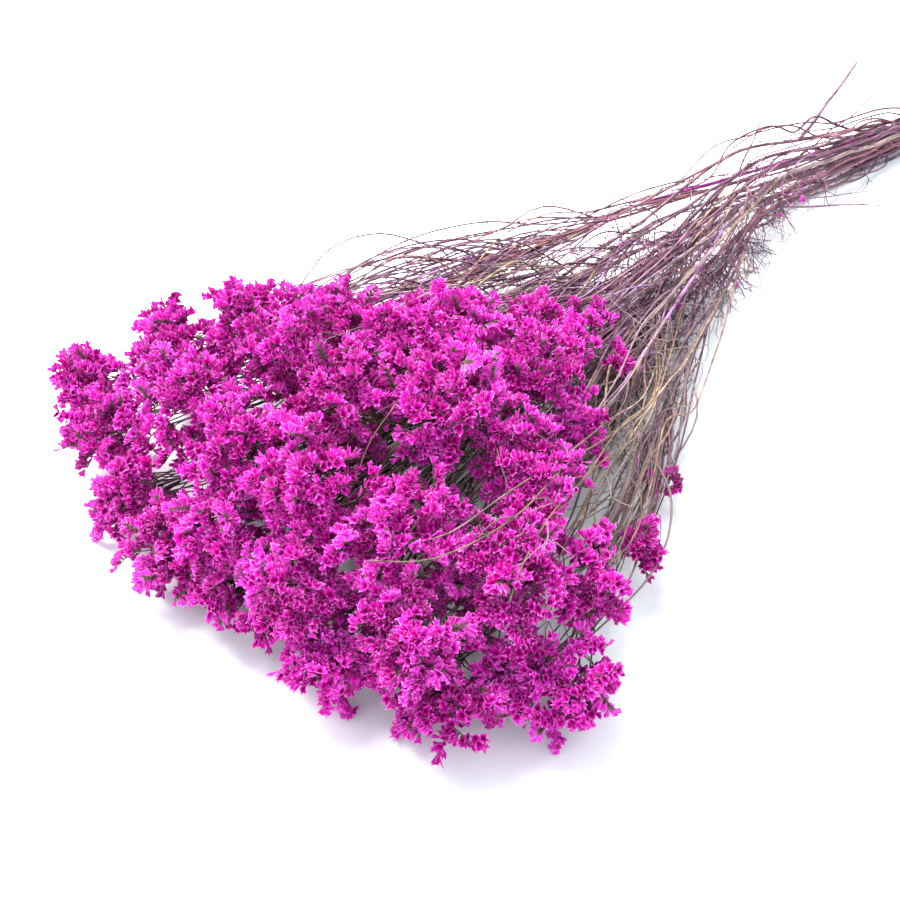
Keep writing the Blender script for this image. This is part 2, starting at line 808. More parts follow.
@dataclass
class Fan:
    """The stems and heads of the bunch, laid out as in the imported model."""

    plan: FanPlan
    points: list[np.ndarray] = field(default_factory=list)
    fixed: list[bool] = field(default_factory=list)
    paths: list[Path] = field(default_factory=list)
    heads: list[Head] = field(default_factory=list)

    def add_point(self, place: np.ndarray, fixed: bool) -> int:
        """Add a point.

        Args:
            place: Where it is.
            fixed: Whether it stays there.

        Returns:
            Its number.
        """
        self.points.append(np.array(place, dtype=float))
        self.fixed.append(fixed)
        return len(self.points) - 1

    def grow(self, numbers: list[int], start_way: np.ndarray, head: Head,
             draw: random.Random) -> None:
        """Carry a path on from its last point to the seat of its head.

        Args:
            numbers: The numbers of the path's points, which grow.
            start_way: Direction in which it starts.
            head: The head.
            draw: Random draws of the layout.
        """
        plan = self.plan
        start = self.points[numbers[-1]]
        end = head.seat - head.axis * plan.straight_end
        count = max(2, round(np.linalg.norm(end - start) / plan.spacing_along))
        for step in range(1, count):
            share = 1 - (1 - step / count) ** plan.crowd_to_tip
            spot = bezier(start, start_way, end, head.axis, share)
            sway = np.array([0.0, *(draw.uniform(-plan.wander, plan.wander) for _ in range(2))])
            numbers.append(self.add_point(spot + sway, False))
        numbers.append(self.add_point(end, True))
        numbers.append(self.add_point(head.seat, True))

    def lay_out(self, draw: random.Random) -> None:
        """Make the heads and the stems and branches that carry them.

        Args:
            draw: Random draws of the layout.
        """
        plan = self.plan
        for stem, (column, row, rows) in enumerate(STEMS, 1):
            group = [Head.place(f"head_{stem:02d}_{number}", stem, line, plan, draw)
                     for number, line in enumerate(rows, 1)]
            self.heads += group
            side, level = plan.band_slot(column, row)
            cut = plan.cut_behind_waist + draw.uniform(-plan.cut_unevenness, plan.cut_unevenness)
            numbers = [self.add_point(plan.behind_waist(cut, side * 1.2, level), True)]
            for behind in (1.5 * plan.band_width, -1.5 * plan.band_width):
                spot = plan.behind_waist(plan.band_behind_waist + behind, side, level)
                numbers.append(self.add_point(spot, True))
            bow = plan.open_slot(column, row, plan.bow_slot)
            numbers.append(self.add_point(plan.behind_waist(plan.bow_behind_waist, *bow), False))
            waist = plan.open_slot(column, row, plan.waist_slot)
            numbers.append(self.add_point(plan.behind_waist(0.0, *waist), False))
            toward = unit(group[0].seat - self.points[numbers[-1]])
            onward = np.array([math.cos(plan.tail_turn), -math.sin(plan.tail_turn)])
            ahead, aside = (toward[:2] + onward) / 2
            rise = plan.row_rises[row]
            if column == 0:
                aside -= plan.far_side_swing
                rise += plan.far_side_rise
            start_way = unit(np.array([ahead, aside, rise]))
            self.grow(numbers, start_way, group[0], draw)
            self.paths.append(Path(stem, numbers, group[0], plan.stem_radius,
                                   plan.stem_tip_radius))
            for number, head in enumerate(group[1:]):
                wanted = plan.first_fork + plan.fork_step * ((number + row) % len(group))
                wanted = min(wanted, np.linalg.norm(head.seat[:2]) - 2.5 * plan.spacing_along)
                inner = range(5, len(numbers) - 3)
                fork = min(inner, key=lambda at: abs(self.points[numbers[at]][0] - wanted))
                way = unit(self.points[numbers[fork + 1]] - self.points[numbers[fork - 1]])
                branch = [numbers[fork]]
                self.grow(branch, way, head, draw)
                self.paths.append(Path(stem, branch, head, plan.branch_radius,
                                       plan.branch_tip_radius))

    def segments(self) -> tuple[np.ndarray, ...]:
        """List every segment of every path.

        Returns:
            Five columns: its two point numbers, radius, stem, and the head at its end or -1.
        """
        rows = []
        for path in self.paths:
            widths = path.radii()
            last = len(path.numbers) - 1
            for at in range(last):
                tip = self.heads.index(path.head) if at >= last - 2 else -1
                rows.append((path.numbers[at], path.numbers[at + 1], widths[at], path.stem, tip))
        return tuple(np.array(column) for column in zip(*rows))

    def bend_clear(self) -> None:
        """Bend the free points until no stem meets another stem or runs through a head."""
        plan = self.plan
        first, second, radii, stems, tips = self.segments()
        points = np.array(self.points)
        free = ~np.array(self.fixed)
        pair_a, pair_b = np.nonzero(np.triu(stems[:, None] != stems[None, :]))
        need = radii[pair_a] + radii[pair_b] + plan.stem_clearance
        near_seg, near_head = np.nonzero(tips[:, None] != np.arange(len(self.heads))[None, :])
        centres = np.array([head.centre for head in self.heads])
        keep_out = np.array([head.radius for head in self.heads]) * plan.head_clear_share
        neighbours: list[list[int]] = [[] for _ in points]
        for path in self.paths:
            for before, after in zip(path.numbers, path.numbers[1:]):
                neighbours[before].append(after)
                neighbours[after].append(before)
        inner = [at for at in range(len(points)) if free[at] and len(neighbours[at]) == 2]
        left = np.array([neighbours[at][0] for at in inner])
        right = np.array([neighbours[at][1] for at in inner])
        for step in range(plan.relax_steps):
            move = np.zeros_like(points)
            share_a, share_b, gap = closest_between(
                points[first[pair_a]], points[second[pair_a]],
                points[first[pair_b]], points[second[pair_b]])
            distance = np.maximum(np.linalg.norm(gap, axis=1), 1e-7)
            hit = distance < need
            push = gap[hit] / distance[hit, None] * ((need - distance)[hit] * 0.5)[:, None]
            a_hit, b_hit = pair_a[hit], pair_b[hit]
            np.add.at(move, first[a_hit], push * (1 - share_a[hit])[:, None])
            np.add.at(move, second[a_hit], push * share_a[hit][:, None])
            np.add.at(move, first[b_hit], -push * (1 - share_b[hit])[:, None])
            np.add.at(move, second[b_hit], -push * share_b[hit][:, None])
            centre = centres[near_head]
            share, _, gap = closest_between(points[first[near_seg]], points[second[near_seg]],
                                            centre, centre + 1e-6)
            distance = np.linalg.norm(gap, axis=1)
            limit = keep_out[near_head] + radii[near_seg]
            hit = distance < limit
            push = gap[hit] / distance[hit, None] * ((limit - distance)[hit] * 0.5)[:, None]
            seg_hit = near_seg[hit]
            np.add.at(move, first[seg_hit], push * (1 - share[hit])[:, None])
            np.add.at(move, second[seg_hit], push * share[hit][:, None])
            if step < plan.relax_steps * 0.6:
                move[inner] += 0.08 * ((points[left] + points[right]) / 2 - points[inner])
            points[free] += move[free]
            points[:, 2] = np.maximum(points[:, 2], 2 * plan.stem_radius)
        self.points = list(points)

    def room(self, head: Head) -> tuple[np.ndarray, np.ndarray]:
        """Planes that bound the room of a head among its neighbours.

        Args:
            head: The head.

        Returns:
            The ways out of the room, and the distance of each plane from the head's middle.
        """
        ways, limits = [-UP], [head.centre[2]]
        for other in self.heads:
            apart = other.centre - head.centre
            distance = np.linalg.norm(apart)
            if other is head or distance > (head.radius + other.radius) * 1.4:
                continue
            ways.append(apart / distance)
            limits.append((distance**2 + head.radius**2 - other.radius**2) / (2 * distance))
        return np.array(ways), np.array(limits)


class FloretKind(Enum):
    """How far a floret has opened."""

    OPEN = "open"
    FOLDED = "folded"
    BUD = "bud"


@dataclass(frozen=True)
class FloretShape:
    """The papery funnel of a floret, and how its copies differ."""

    pleats: int = 6
    rim_radii: Pair = (1.86 * MM, 1.34 * MM)
    rim_heights: Pair = (3.55 * MM, 3.0 * MM)
    throat_height: float = 1.35 * MM
    sizes: Pair = (0.84, 1.28)
    rim_unevenness: float = 0.40 * MM
    radius_noise: float = 0.20
    turn_noise: float = 0.17
    closed_rise: float = 0.6 * MM
    squeezes: Pair = (0.46, 0.92)
    shares: tuple[tuple[FloretKind, float, float, float], ...] = (
        (FloretKind.OPEN, 0.74, 0.86, 1.16), (FloretKind.FOLDED, 0.20, 0.5, 0.74),
        (FloretKind.BUD, 0.06, 0.26, 0.4))

    def template(self) -> tuple[np.ndarray, ...]:
        """Lay out the points of a floret before it is bent open.

        Returns:
            Six columns: radius, turn and height, and the values along, inside and rib.
        """
        rows = [(0.0, 0.0, 0.0, 0.0, 0.0, 0.5)]
        rows += [(self.rim_radii[at % 2], math.pi * at / self.pleats, self.rim_heights[at % 2],
                  1.0 - 0.05 * (at % 2), 0.5, 1.0 - at % 2) for at in range(2 * self.pleats)]
        rows.append((0.0, 0.0, self.throat_height, 0.35, 1.0, 0.5))
        return tuple(np.array(column) for column in zip(*rows))

    def faces(self) -> np.ndarray:
        """List the triangles of one floret: the outside, and the inside of the funnel.

        Returns:
            The point numbers of each triangle, a row each.
        """
        around = 2 * self.pleats
        rows = []
        for at in range(around):
            here, there = 1 + at, 1 + (at + 1) % around
            rows += [(0, there, here), (around + 1, here, there)]
        return np.array(rows)

    def openings(self, count: int, rng: np.random.Generator) -> np.ndarray:
        """How wide each floret's mouth is, as a share of a full one.

        Args:
            count: Number of florets.
            rng: Random draws.

        Returns:
            The shares.
        """
        pick = rng.random(count)
        wide = np.ones(count)
        start = 0.0
        for _, share, low, high in self.shares:
            chosen = (pick >= start) & (pick < start + share)
            wide[chosen] = rng.uniform(low, high, chosen.sum())
            start += share
        return wide

    def strew(self, buffer: MeshBuffer, bases: np.ndarray, ways: np.ndarray, sides: np.ndarray,
              tints: np.ndarray, rng: np.random.Generator, slot: int = 0) -> None:
        """Add florets to a mesh.

        Args:
            buffer: The mesh.
            bases: Foot of each floret.
            ways: The way each one opens.
            sides: The run of its spike, along which its neighbours squeeze it.
            tints: Its place in the range of the dye.
            rng: Random draws.
            slot: Number of its material.
        """
        radius, turn, height, along, inside, rib = self.template()
        count, points = len(bases), len(radius)
        rim = along > 0.9
        size = rng.uniform(*self.sizes, (count, 1))
        wide = self.openings(count, rng)[:, None]
        squeeze = rng.uniform(*self.squeezes, (count, 1))
        spin = rng.uniform(0, 2 * math.pi, (count, 1))
        flare = np.where(rim, wide, 0.75 + 0.25 * wide)
        uneven = [np.where(rim, rng.normal(0, spread, (count, points)), 0.0)
                  for spread in (self.radius_noise, self.turn_noise)]
        reach = radius * flare * (1 + uneven[0])
        angle = turn + spin + uneven[1]
        rise = height + np.where(rim, rng.normal(0, self.rim_unevenness, (count, points))
                                 + (1 - wide) * self.closed_rise, 0.0)
        sides = units(sides - ways * np.sum(sides * ways, axis=1, keepdims=True))
        ups = np.cross(ways, sides)
        places = (bases[:, None] + (size * rise)[..., None] * ways[:, None]
                  + (size * reach * np.cos(angle) * squeeze)[..., None] * sides[:, None]
                  + (size * reach * np.sin(angle))[..., None] * ups[:, None])
        faces = (self.faces()[None] + (np.arange(count) * points)[:, None, None]).reshape(-1, 3)
        buffer.add(places.reshape(-1, 3), faces, slot, tint=np.repeat(tints, points),
                   along=np.tile(along, count), inside=np.tile(inside, count),
                   rib=np.tile(rib, count))


@dataclass
class Cluster:
    """A hub with the short spikes that spring from it."""

    hub: np.ndarray
    way: np.ndarray
    spikes: list[np.ndarray]
    tint: float


@dataclass
class FlowerHead:
    """The florets of one head: many small clusters of short one-sided spikes."""

    head: Head
    fan: Fan
    shape: FloretShape
    seed: int
    clusters_each: float = 24.0 / (20 * MM) ** 2
    sunk_share: float = 0.55
    sunk_limits: Triple = (40 * MM, 460 * MM, 13 * MM)
    full_spikes: float = 14 * MM
    cap: float = math.radians(130)
    depths: Pair = (0.45, 1.10)
    outlying: Triple = (0.20, 1.08, 1.25)
    near_limit: float = math.radians(21.2)
    least_outlying: float = 13 * MM
    tint_by_depth: Pair = (0.62, 0.95)
    depth_tints: Pair = (0.34, -0.06)
    tint_spread: float = 0.24
    hub_stray: float = 1.8 * MM
    way_noise: float = 0.22
    way_pulls: Triple = (0.65, 0.55, 0.1)
    face_pulls: Pair = (0.75, 0.65)
    face_noise: float = 0.36
    spike_lengths: Pair = (5.0 * MM, 13.5 * MM)
    spike_reach: float = 8.5 * MM
    floret_pitch: float = 0.66 * MM
    turned_share: float = 0.15
    spikes_each: tuple[int, int] = (2, 3)
    spike_tilts: Pair = (math.radians(12), math.radians(52))
    bends: Pair = (math.radians(10), math.radians(55))
    least_room: float = 0.55
    overlap: float = 4.0 * MM
    floor_gap: float = 0.3 * MM

    def __post_init__(self) -> None:
        """Lay out the clusters and their florets."""
        self.rng = np.random.default_rng(self.seed)
        self.tint = float(self.rng.uniform(0.42, 0.66))
        low, reach, radius = self.sunk_limits
        self.sunk = (self.head.centre[2] < low and np.linalg.norm(self.head.centre[:2]) < reach
                     and self.head.radius > radius)
        if self.sunk:
            self.tint -= 0.18
        self.spike_size = min(1.0, self.head.radius / self.full_spikes)
        self.clusters: list[Cluster] = []
        self.bases: list[np.ndarray] = []
        self.ways: list[np.ndarray] = []
        self.runs: list[np.ndarray] = []
        self.tints: list[float] = []
        self.lay_out()

    def outward_ways(self) -> list[np.ndarray]:
        """Spread the clusters of the head unevenly over its outer side.

        Returns:
            Directions of the clusters from the head's middle.
        """
        head = self.head
        share = self.sunk_share if self.sunk else 1.0
        count = max(3, round(self.clusters_each * share * head.radius**2))
        side, up = across(head.axis)
        start = self.rng.uniform(0, 2 * math.pi)
        golden = math.pi * (3 - math.sqrt(5))
        ways = []
        for at in range(count):
            along = 1 - (at + 0.5) / count * (1 - math.cos(self.cap))
            out = math.sqrt(max(0.0, 1 - along * along))
            angle = start + golden * at
            way = along * head.axis + out * (math.cos(angle) * side + math.sin(angle) * up)
            ways.append(unit(way + self.rng.normal(0, self.way_noise, 3)))
        return ways

    def lay_out(self) -> None:
        """Place the clusters, their spikes and their florets."""
        head, rng = self.head, self.rng
        room_ways, room_limits = self.fan.room(head)
        for out in self.outward_ways():
            low, high = self.depths
            depth = (low**3 + rng.random() * (high**3 - low**3)) ** (1 / 3)
            if (rng.random() < self.outlying[0] and head.radius > self.least_outlying
                    and out[2] < 0.6):
                depth = rng.uniform(*self.outlying[1:])
            sunk = float(np.interp(depth, self.tint_by_depth, self.depth_tints))
            depth = max(depth * head.radius - self.spike_reach * self.spike_size,
                        0.12 * head.radius)
            reaches = room_ways @ (out * depth)
            over = reaches > np.maximum(room_limits, 1e-6)
            share = min([1.0, *(room_limits[over] / reaches[over])])
            if share < self.least_room:
                continue
            hub = head.centre + out * depth * share + rng.normal(0, self.hub_stray, 3)
            if head.radius > self.least_outlying and math.atan2(hub[1], hub[0]) > self.near_limit:
                continue
            hub[2] = max(hub[2], 2.5 * MM)
            pulls = zip(self.way_pulls, (out, head.axis, UP))
            way = unit(sum(pull * toward for pull, toward in pulls) + rng.normal(0, 0.25, 3))
            tint = self.tint - sunk + rng.uniform(-self.tint_spread, self.tint_spread)
            cluster = Cluster(hub, way, [], tint)
            count = rng.integers(self.spikes_each[0], self.spikes_each[1] + 1)
            start = rng.uniform(0, 2 * math.pi)
            for number in range(count):
                angle = start + 2 * math.pi * (number + rng.uniform(-0.25, 0.25)) / count
                self.add_spike(cluster, turned(way, angle), out, (room_ways, room_limits))
            if cluster.spikes:
                self.clusters.append(cluster)

    def add_spike(self, cluster: Cluster, aside: np.ndarray, out: np.ndarray,
                  room: tuple[np.ndarray, np.ndarray]) -> None:
        """Add a spike with its florets, unless it would end well inside a neighbour.

        Args:
            cluster: Its cluster.
            aside: The way it leans, square to the cluster's own way.
            out: The way out of the head at the cluster.
            room: The planes round the head.
        """
        rng, centre = self.rng, self.head.centre
        length = rng.uniform(*self.spike_lengths) * self.spike_size
        tilt, bend = rng.uniform(*self.spike_tilts), rng.uniform(*self.bends)
        steps = 6
        line = [cluster.hub]
        for at in range(steps):
            turn = tilt + bend * at / (steps - 1)
            way = math.cos(turn) * cluster.way + math.sin(turn) * aside
            line.append(line[-1] + way * length / steps)
        line = np.array(line)
        line[:, 2] = np.maximum(line[:, 2], 1.5 * MM)
        if np.any((line[-1] - centre) @ room[0].T > room[1] + self.overlap):
            return
        count = max(4, round(length / self.floret_pitch))
        shares = np.linspace(0, 1, len(line))
        at = (np.arange(count) + 0.6) / count
        bases = np.stack([np.interp(at, shares, line[:, axis]) for axis in range(3)], axis=1)
        runs = units(np.gradient(bases, axis=0))
        face = unit(self.face_pulls[0] * UP + self.face_pulls[1] * out
                    + rng.normal(0, self.face_noise, 3))
        if rng.random() < self.turned_share:
            face = unit(rng.normal(0, 1, 3))
        outs = units(face - runs * (runs @ face)[:, None])
        sides = np.cross(runs, outs)
        row = np.array([1.0, -1.0, 0.0])[np.arange(count) % 3]
        spread = np.radians(rng.normal(0, 8, count) + 42 * row)
        lean_on = rng.normal(0.36, 0.14, count)
        lean_on[-1] += 0.7
        ways = units(outs * np.cos(spread)[:, None] + sides * np.sin(spread)[:, None]
                     + runs * lean_on[:, None] + rng.normal(0, 0.10, (count, 3)))
        cluster.spikes.append(line)
        self.bases.append(bases)
        self.ways.append(ways)
        self.runs.append(runs)
        self.tints += list(np.clip(cluster.tint + rng.normal(0, 0.10, count), 0.02, 0.98))

    def build(self, material: bpy.types.Material, shift: np.ndarray) -> bpy.types.Object:
        """Make the florets.

        Args:
            material: Their finish.
            shift: From the fan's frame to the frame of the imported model.

        Returns:
            The piece.
        """
        buffer = MeshBuffer("tint", "along", "inside", "rib")
        self.shape.strew(buffer, np.vstack(self.bases), np.vstack(self.ways),
                         np.vstack(self.runs), np.array(self.tints), self.rng)
        name = self.head.name
        return buffer.make(name.replace("head", "florets"), name, "floret", [material], shift,
                           False, self.floor_gap)


@dataclass(frozen=True)
class TwigHabit:
    """How thickly dead side twigs stand on a stem, how long they are and how often they fork."""

    tries: int
    share: float
    lengths: Pair
    forks: int


@dataclass
class StemWork:
    """One stem with its branches, feeders, twigs, side twigs and dry scale leaves."""

    number: int
    fan: Fan
    flowers: list[FlowerHead]
    shape: FloretShape
    ring_spacing: float = 6.0 * MM
    node_spacing: Pair = (22 * MM, 46 * MM)
    tint_kinds: tuple[Triple, ...] = ((0.62, 0.12, 0.5), (0.84, 0.5, 0.72), (0.93, 0.74, 0.84),
                                      (1.0, 0.86, 0.96))
    straw_tints: Pair = (0.76, 0.86)
    kink: float = 0.75 * MM
    kink_fade: float = 20 * MM
    knot_reach: float = 3.2 * MM
    tip_share: float = 0.62
    feeder_radius: Pair = (0.62 * MM, 0.34 * MM)
    over_radius: Pair = (0.60 * MM, 0.36 * MM)
    crossing_radius: Pair = (0.48 * MM, 0.30 * MM)
    crossing_reach: float = 340 * MM
    crossing_height: float = 42 * MM
    crossing_knots: int = 6
    crossing_stray: float = 1.2 * MM
    crossing_spurs: Pair = (12 * MM, 30 * MM)
    stray_bend: float = 0.009
    spur_lengths: Pair = (6 * MM, 16 * MM)
    spur_radius: float = 0.22 * MM
    spur_kink: float = 0.35
    twig_radius: Pair = (0.40 * MM, 0.26 * MM)
    spike_radius: Pair = (0.26 * MM, 0.15 * MM)
    feeder_lengths: Pair = (45 * MM, 290 * MM)
    feeder_offsets: Pair = (2.5 * MM, 17 * MM)
    feeder_end: float = 16 * MM
    feeder_step: float = 38 * MM
    full_head: float = 15 * MM
    sunk_share: float = 0.4
    feeder_sink: Pair = (0.25, 0.75)
    far_arch_share: float = 0.7
    far_arch: Triple = (0.0, -15 * MM, 14 * MM)
    top_arch_share: float = 0.4
    top_arch: Triple = (0.0, 0.0, 12 * MM)
    over_share: float = 0.22
    over_lengths: Pair = (95 * MM, 190 * MM)
    over_offsets: Pair = (5 * MM, 18 * MM)
    over_swings: Pair = (-6 * MM, 10 * MM)
    over_height: float = 30 * MM
    feeder_spacing: float = 8.5 * MM
    feeders_each: int = 13
    companions_each: int = 3
    companion_starts: Pair = (-128 * MM, -70 * MM)
    companion_ends: Pair = (90 * MM, 230 * MM)
    companion_offsets: Pair = (3.5 * MM, 9 * MM)
    companion_step: float = 30 * MM
    companion_lift: float = 8 * MM
    companion_radii: Pair = (0.45 * MM, 1.0 * MM)
    side_stretch: Pair = (-75 * MM, 300 * MM)
    dense_from: float = 75 * MM
    dense_twigs: TwigHabit = TwigHabit(3, 0.55, (14 * MM, 46 * MM), 2)
    sparse_twigs: TwigHabit = TwigHabit(1, 0.31, (8 * MM, 26 * MM), 1)
    side_radii: Pair = (0.26 * MM, 0.46 * MM)
    side_aim: Triple = (0.5, 0.1, -0.1)
    side_kink: float = 0.6
    fan_stretch: Pair = (95 * MM, 420 * MM)
    fan_twig_share: float = 0.15
    fan_lengths: Pair = (30 * MM, 95 * MM)
    fan_radii: Pair = (0.3 * MM, 0.48 * MM)
    fan_rise: float = 12 * MM
    fan_kink: float = 0.26
    hub_straight: float = 7 * MM
    least_span: float = 9 * MM
    olive_reaches: Pair = (330 * MM, 90 * MM)
    dark_level: float = 45 * MM
    grey_turns: Pair = (math.radians(12.5), math.radians(5))
    grey_reaches: Pair = (165 * MM, 110 * MM)
    grey_shares: Pair = (0.04, 0.30)
    twig_step: float = 5.0 * MM
    aim_pull: float = 0.12
    least_radius: float = 0.12 * MM
    dyed_share: float = 0.05
    dyed_tint: float = 0.97
    twig_olive: Pair = (200 * MM, 230 * MM)
    remnant_share: float = 0.025
    remnant_height: float = 24 * MM
    scale_lengths: Pair = (2.2 * MM, 4.2 * MM)
    scale_width: float = 0.8 * MM
    bract_length: float = 2.0 * MM
    bract_width: float = 0.55 * MM
    floor_gap: float = 0.3 * MM

    def __post_init__(self) -> None:
        """Start the mesh and the random draws of this stem."""
        self.rng = np.random.default_rng(STEM_SEED + self.number)
        self.buffer = MeshBuffer("tint", "olive", "knot", "pith", "along", "inside", "rib")
        self.paths = [path for path in self.fan.paths if path.stem == self.number]
        self.tint = self.pick_tint()
        self.lines: dict[str, np.ndarray] = {}

    def pick_tint(self) -> float:
        """Draw a colour of the bark: mostly purple-brown and mauve, now and then straw or dyed.

        Returns:
            The colour's place on the ramp of the bark, from 0 to 1.
        """
        kind = self.rng.random()
        low, high = next(tints for limit, *tints in self.tint_kinds if kind < limit)
        return float(self.rng.uniform(low, high))

    def main_line(self) -> np.ndarray:
        """Points along the stem itself."""
        return self.lines[self.paths[0].head.name]

    def ring_back(self, parent: np.ndarray, back: float) -> int:
        """The number of the ring that lies a distance back from the end of a branch."""
        return max(3, len(parent) - 1 - round(back / self.ring_spacing))

    def greyed(self, points: np.ndarray) -> np.ndarray:
        """How far the wood has gone pale and grey: the near side of the fan has the most.

        Args:
            points: Points along a stem or a twig.

        Returns:
            The share of the pale colour at each point.
        """
        turn = np.arctan2(points[:, 1], points[:, 0])
        reach = np.linalg.norm(points[:, :2], axis=1)
        near = np.clip((turn - self.grey_turns[0]) / self.grey_turns[1], 0, 1)
        far = np.clip((reach - self.grey_reaches[0]) / self.grey_reaches[1], 0, 1)
        return self.rng.uniform(*self.grey_shares) * near * far

    def kinked(self, line: np.ndarray, size: float) -> tuple[np.ndarray, np.ndarray]:
        """Give a line the slight zigzag of a stem that grew from node to node.

        Args:
            line: Points of a smooth line.
            size: Largest sideways step at a node.

        Returns:
            The kinked line, and for each of its points how near it is to a node, from 0 to 1.
        """
        steps = np.linalg.norm(np.diff(line, axis=0), axis=1)
        run = np.concatenate([[0.0], np.cumsum(steps)])
        nodes = [0.0]
        while nodes[-1] < run[-1]:
            nodes.append(nodes[-1] + self.rng.uniform(*self.node_spacing))
        offsets = self.rng.uniform(-1, 1, (len(nodes), 3)) * size
        offsets[0] = 0
        moved = np.stack([np.interp(run, nodes, offsets[:, axis]) for axis in range(3)], axis=1)
        fade = np.clip(np.minimum(run, run[-1] - run) / self.kink_fade, 0, 1)[:, None]
        near = np.min(np.abs(run[:, None] - np.array(nodes)[None, 1:]), axis=1)
        return line + moved * fade, np.clip(1 - near / self.knot_reach, 0, 1)

    def add_stems(self) -> None:
        """Add the stem itself and its branches."""
        for order, path in enumerate(self.paths):
            knots = np.array([self.fan.points[at] for at in path.numbers])
            line = smooth_line(knots, self.ring_spacing)
            if order == 0:
                # The tail stays straight where the band grips it
                tail = smooth_line(knots[:4], self.ring_spacing)
                free, near = self.kinked(line[len(tail):], self.kink)
                line = np.vstack([line[:len(tail)], free])
                near = np.concatenate([np.zeros(len(tail)), near])
            else:
                line, near = self.kinked(line, self.kink)
            self.lines[path.head.name] = line
            share = np.linspace(0, 1, len(line))
            thin = path.thin * self.tip_share
            radii = (path.thick * 0.94 * (1 - share) + thin * share) * (1 + 0.2 * near)
            tint = np.clip(self.tint + self.rng.uniform(-0.06, 0.06), 0, 1)
            cut = np.where(np.arange(len(line)) == 0, 0.6 * (order == 0), 0.0)
            self.buffer.add_tube(line, radii, 8 if order == 0 else 6, 0.07, tint=tint,
                                 olive=np.clip(share * 2.2 - 1.35, 0, 0.85), knot=near * 0.55,
                                 pith=np.maximum(cut, self.greyed(line)))
            self.add_scales(line, radii, near)

    def add_scales(self, line: np.ndarray, radii: np.ndarray, near: np.ndarray) -> None:
        """Add a dry scale leaf at some of the nodes.

        Args:
            line: Points along a stem.
            radii: Its radii.
            near: How near each point is to a node.
        """
        for at in range(2, len(line) - 2):
            if near[at] < 0.45 or self.rng.random() < 0.35:
                continue
            way = unit(line[at + 1] - line[at])
            out = turned(way, self.rng.uniform(0, 2 * math.pi))
            self.add_scale(line[at] + out * radii[at] * 0.6, unit(way + out * 0.45), out)

    def add_scale(self, foot: np.ndarray, way: np.ndarray, out: np.ndarray) -> None:
        """Add one pointed scale leaf.

        Args:
            foot: Where it is rooted.
            way: The way it points.
            out: The way its back faces.
        """
        side, width = np.cross(way, out), self.scale_width
        length = self.rng.uniform(*self.scale_lengths)
        places = np.array([foot - side * width * 0.5, foot + side * width * 0.5,
                           foot + way * length * 0.4 + out * width * 0.35, foot + way * length])
        self.buffer.add(places, LEAF_FACES, tint=0.3, olive=0.5, knot=0.45)

    def add_feeder(self, parent: np.ndarray, cluster: Cluster, head: Head) -> None:
        """Add a thin branch that runs beside the main one to a cluster of its own.

        Args:
            parent: Points of the main branch.
            cluster: The cluster.
            head: The head it belongs to.
        """
        rng = self.rng
        start = self.ring_back(parent, rng.uniform(*self.feeder_lengths))
        last = max(start + 2, len(parent) - round(self.feeder_end / self.ring_spacing))
        step = max(3, round(self.feeder_step / self.ring_spacing))
        knots = [parent[start]]
        way = unit(parent[min(start + 3, len(parent) - 1)] - parent[start])
        side, up = across(way)
        angle = rng.uniform(0, 2 * math.pi)
        size = rng.uniform(*self.feeder_offsets) * min(1.0, head.radius / self.full_head)
        column, row, _ = STEMS[self.number - 1]
        arch, high = np.zeros(3), rng.uniform(0.4, 1.0)
        over = row == 1 and column > 0 and rng.random() < self.over_share
        if over:
            start = self.ring_back(parent, rng.uniform(*self.over_lengths))
            size = rng.uniform(*self.over_offsets)
            arch = np.array([0.0, rng.uniform(*self.over_swings), self.over_height]) * high
        elif column == 0 and rng.random() < self.far_arch_share:
            arch = np.array(self.far_arch) * high
        elif row == 2 and rng.random() < self.top_arch_share:
            arch = np.array(self.top_arch) * high
        sunk = not over and rng.random() < self.sunk_share
        sink = rng.uniform(*self.feeder_sink) if sunk else 0.0
        for at in range(start + step, last, step):
            angle += rng.normal(0, 0.35)
            out = math.cos(angle) * side + math.sin(angle) * up
            swell = math.sin(math.pi * min(1.0, (at - start) / max(1, last - start)))
            spot = parent[at] + out * size * rng.uniform(0.75, 1.25) + arch * swell
            spot[2] *= 1 - sink * swell
            knots.append(spot)
        toward = cluster.hub - cluster.way * min(self.hub_straight, 0.3 * head.radius)
        if np.linalg.norm(knots[-1] - toward) < self.least_span and len(knots) > 1:
            knots.pop()
        knots += [toward, cluster.hub]
        self.add_twig(np.array(knots), self.over_radius if over else self.feeder_radius, 3,
                      0.0 if over else 1.0, self.feeder_spacing, over)

    def add_twig(self, knots: np.ndarray, radii: Pair, sides: int, olive: float, spacing: float,
                 straw: bool = False) -> None:
        """Add a smooth twig through some points.

        Args:
            knots: The points.
            radii: Radius at its foot and at its tip.
            sides: Points round it.
            olive: How olive it is at its tip.
            spacing: Wanted distance between its rings.
            straw: Whether it is straw-coloured, as those that cross over the flowers are.
        """
        line, near = self.kinked(smooth_line(knots, spacing), 0.5 * self.kink)
        line[:, 2] = np.maximum(line[:, 2], radii[0] + self.floor_gap)
        share = np.linspace(0, 1, len(line))
        wide = (radii[0] * (1 - share) + radii[1] * share) * (1 + 0.2 * near)
        low = np.clip((self.dark_level - line[:, 2]) / self.dark_level, 0, 1)
        tint = self.rng.uniform(*self.straw_tints) if straw else self.pick_tint()
        reach = np.clip((line[:, 0] - self.olive_reaches[0]) / self.olive_reaches[1], 0, 1)
        self.buffer.add_tube(line, wide, sides, tint=tint,
                             knot=np.maximum(near * 0.5, 1.3 * low * reach),
                             pith=0.0 if straw else self.greyed(line),
                             olive=np.clip(reach * olive * (0.7 + 0.3 * share), 0, 0.95))

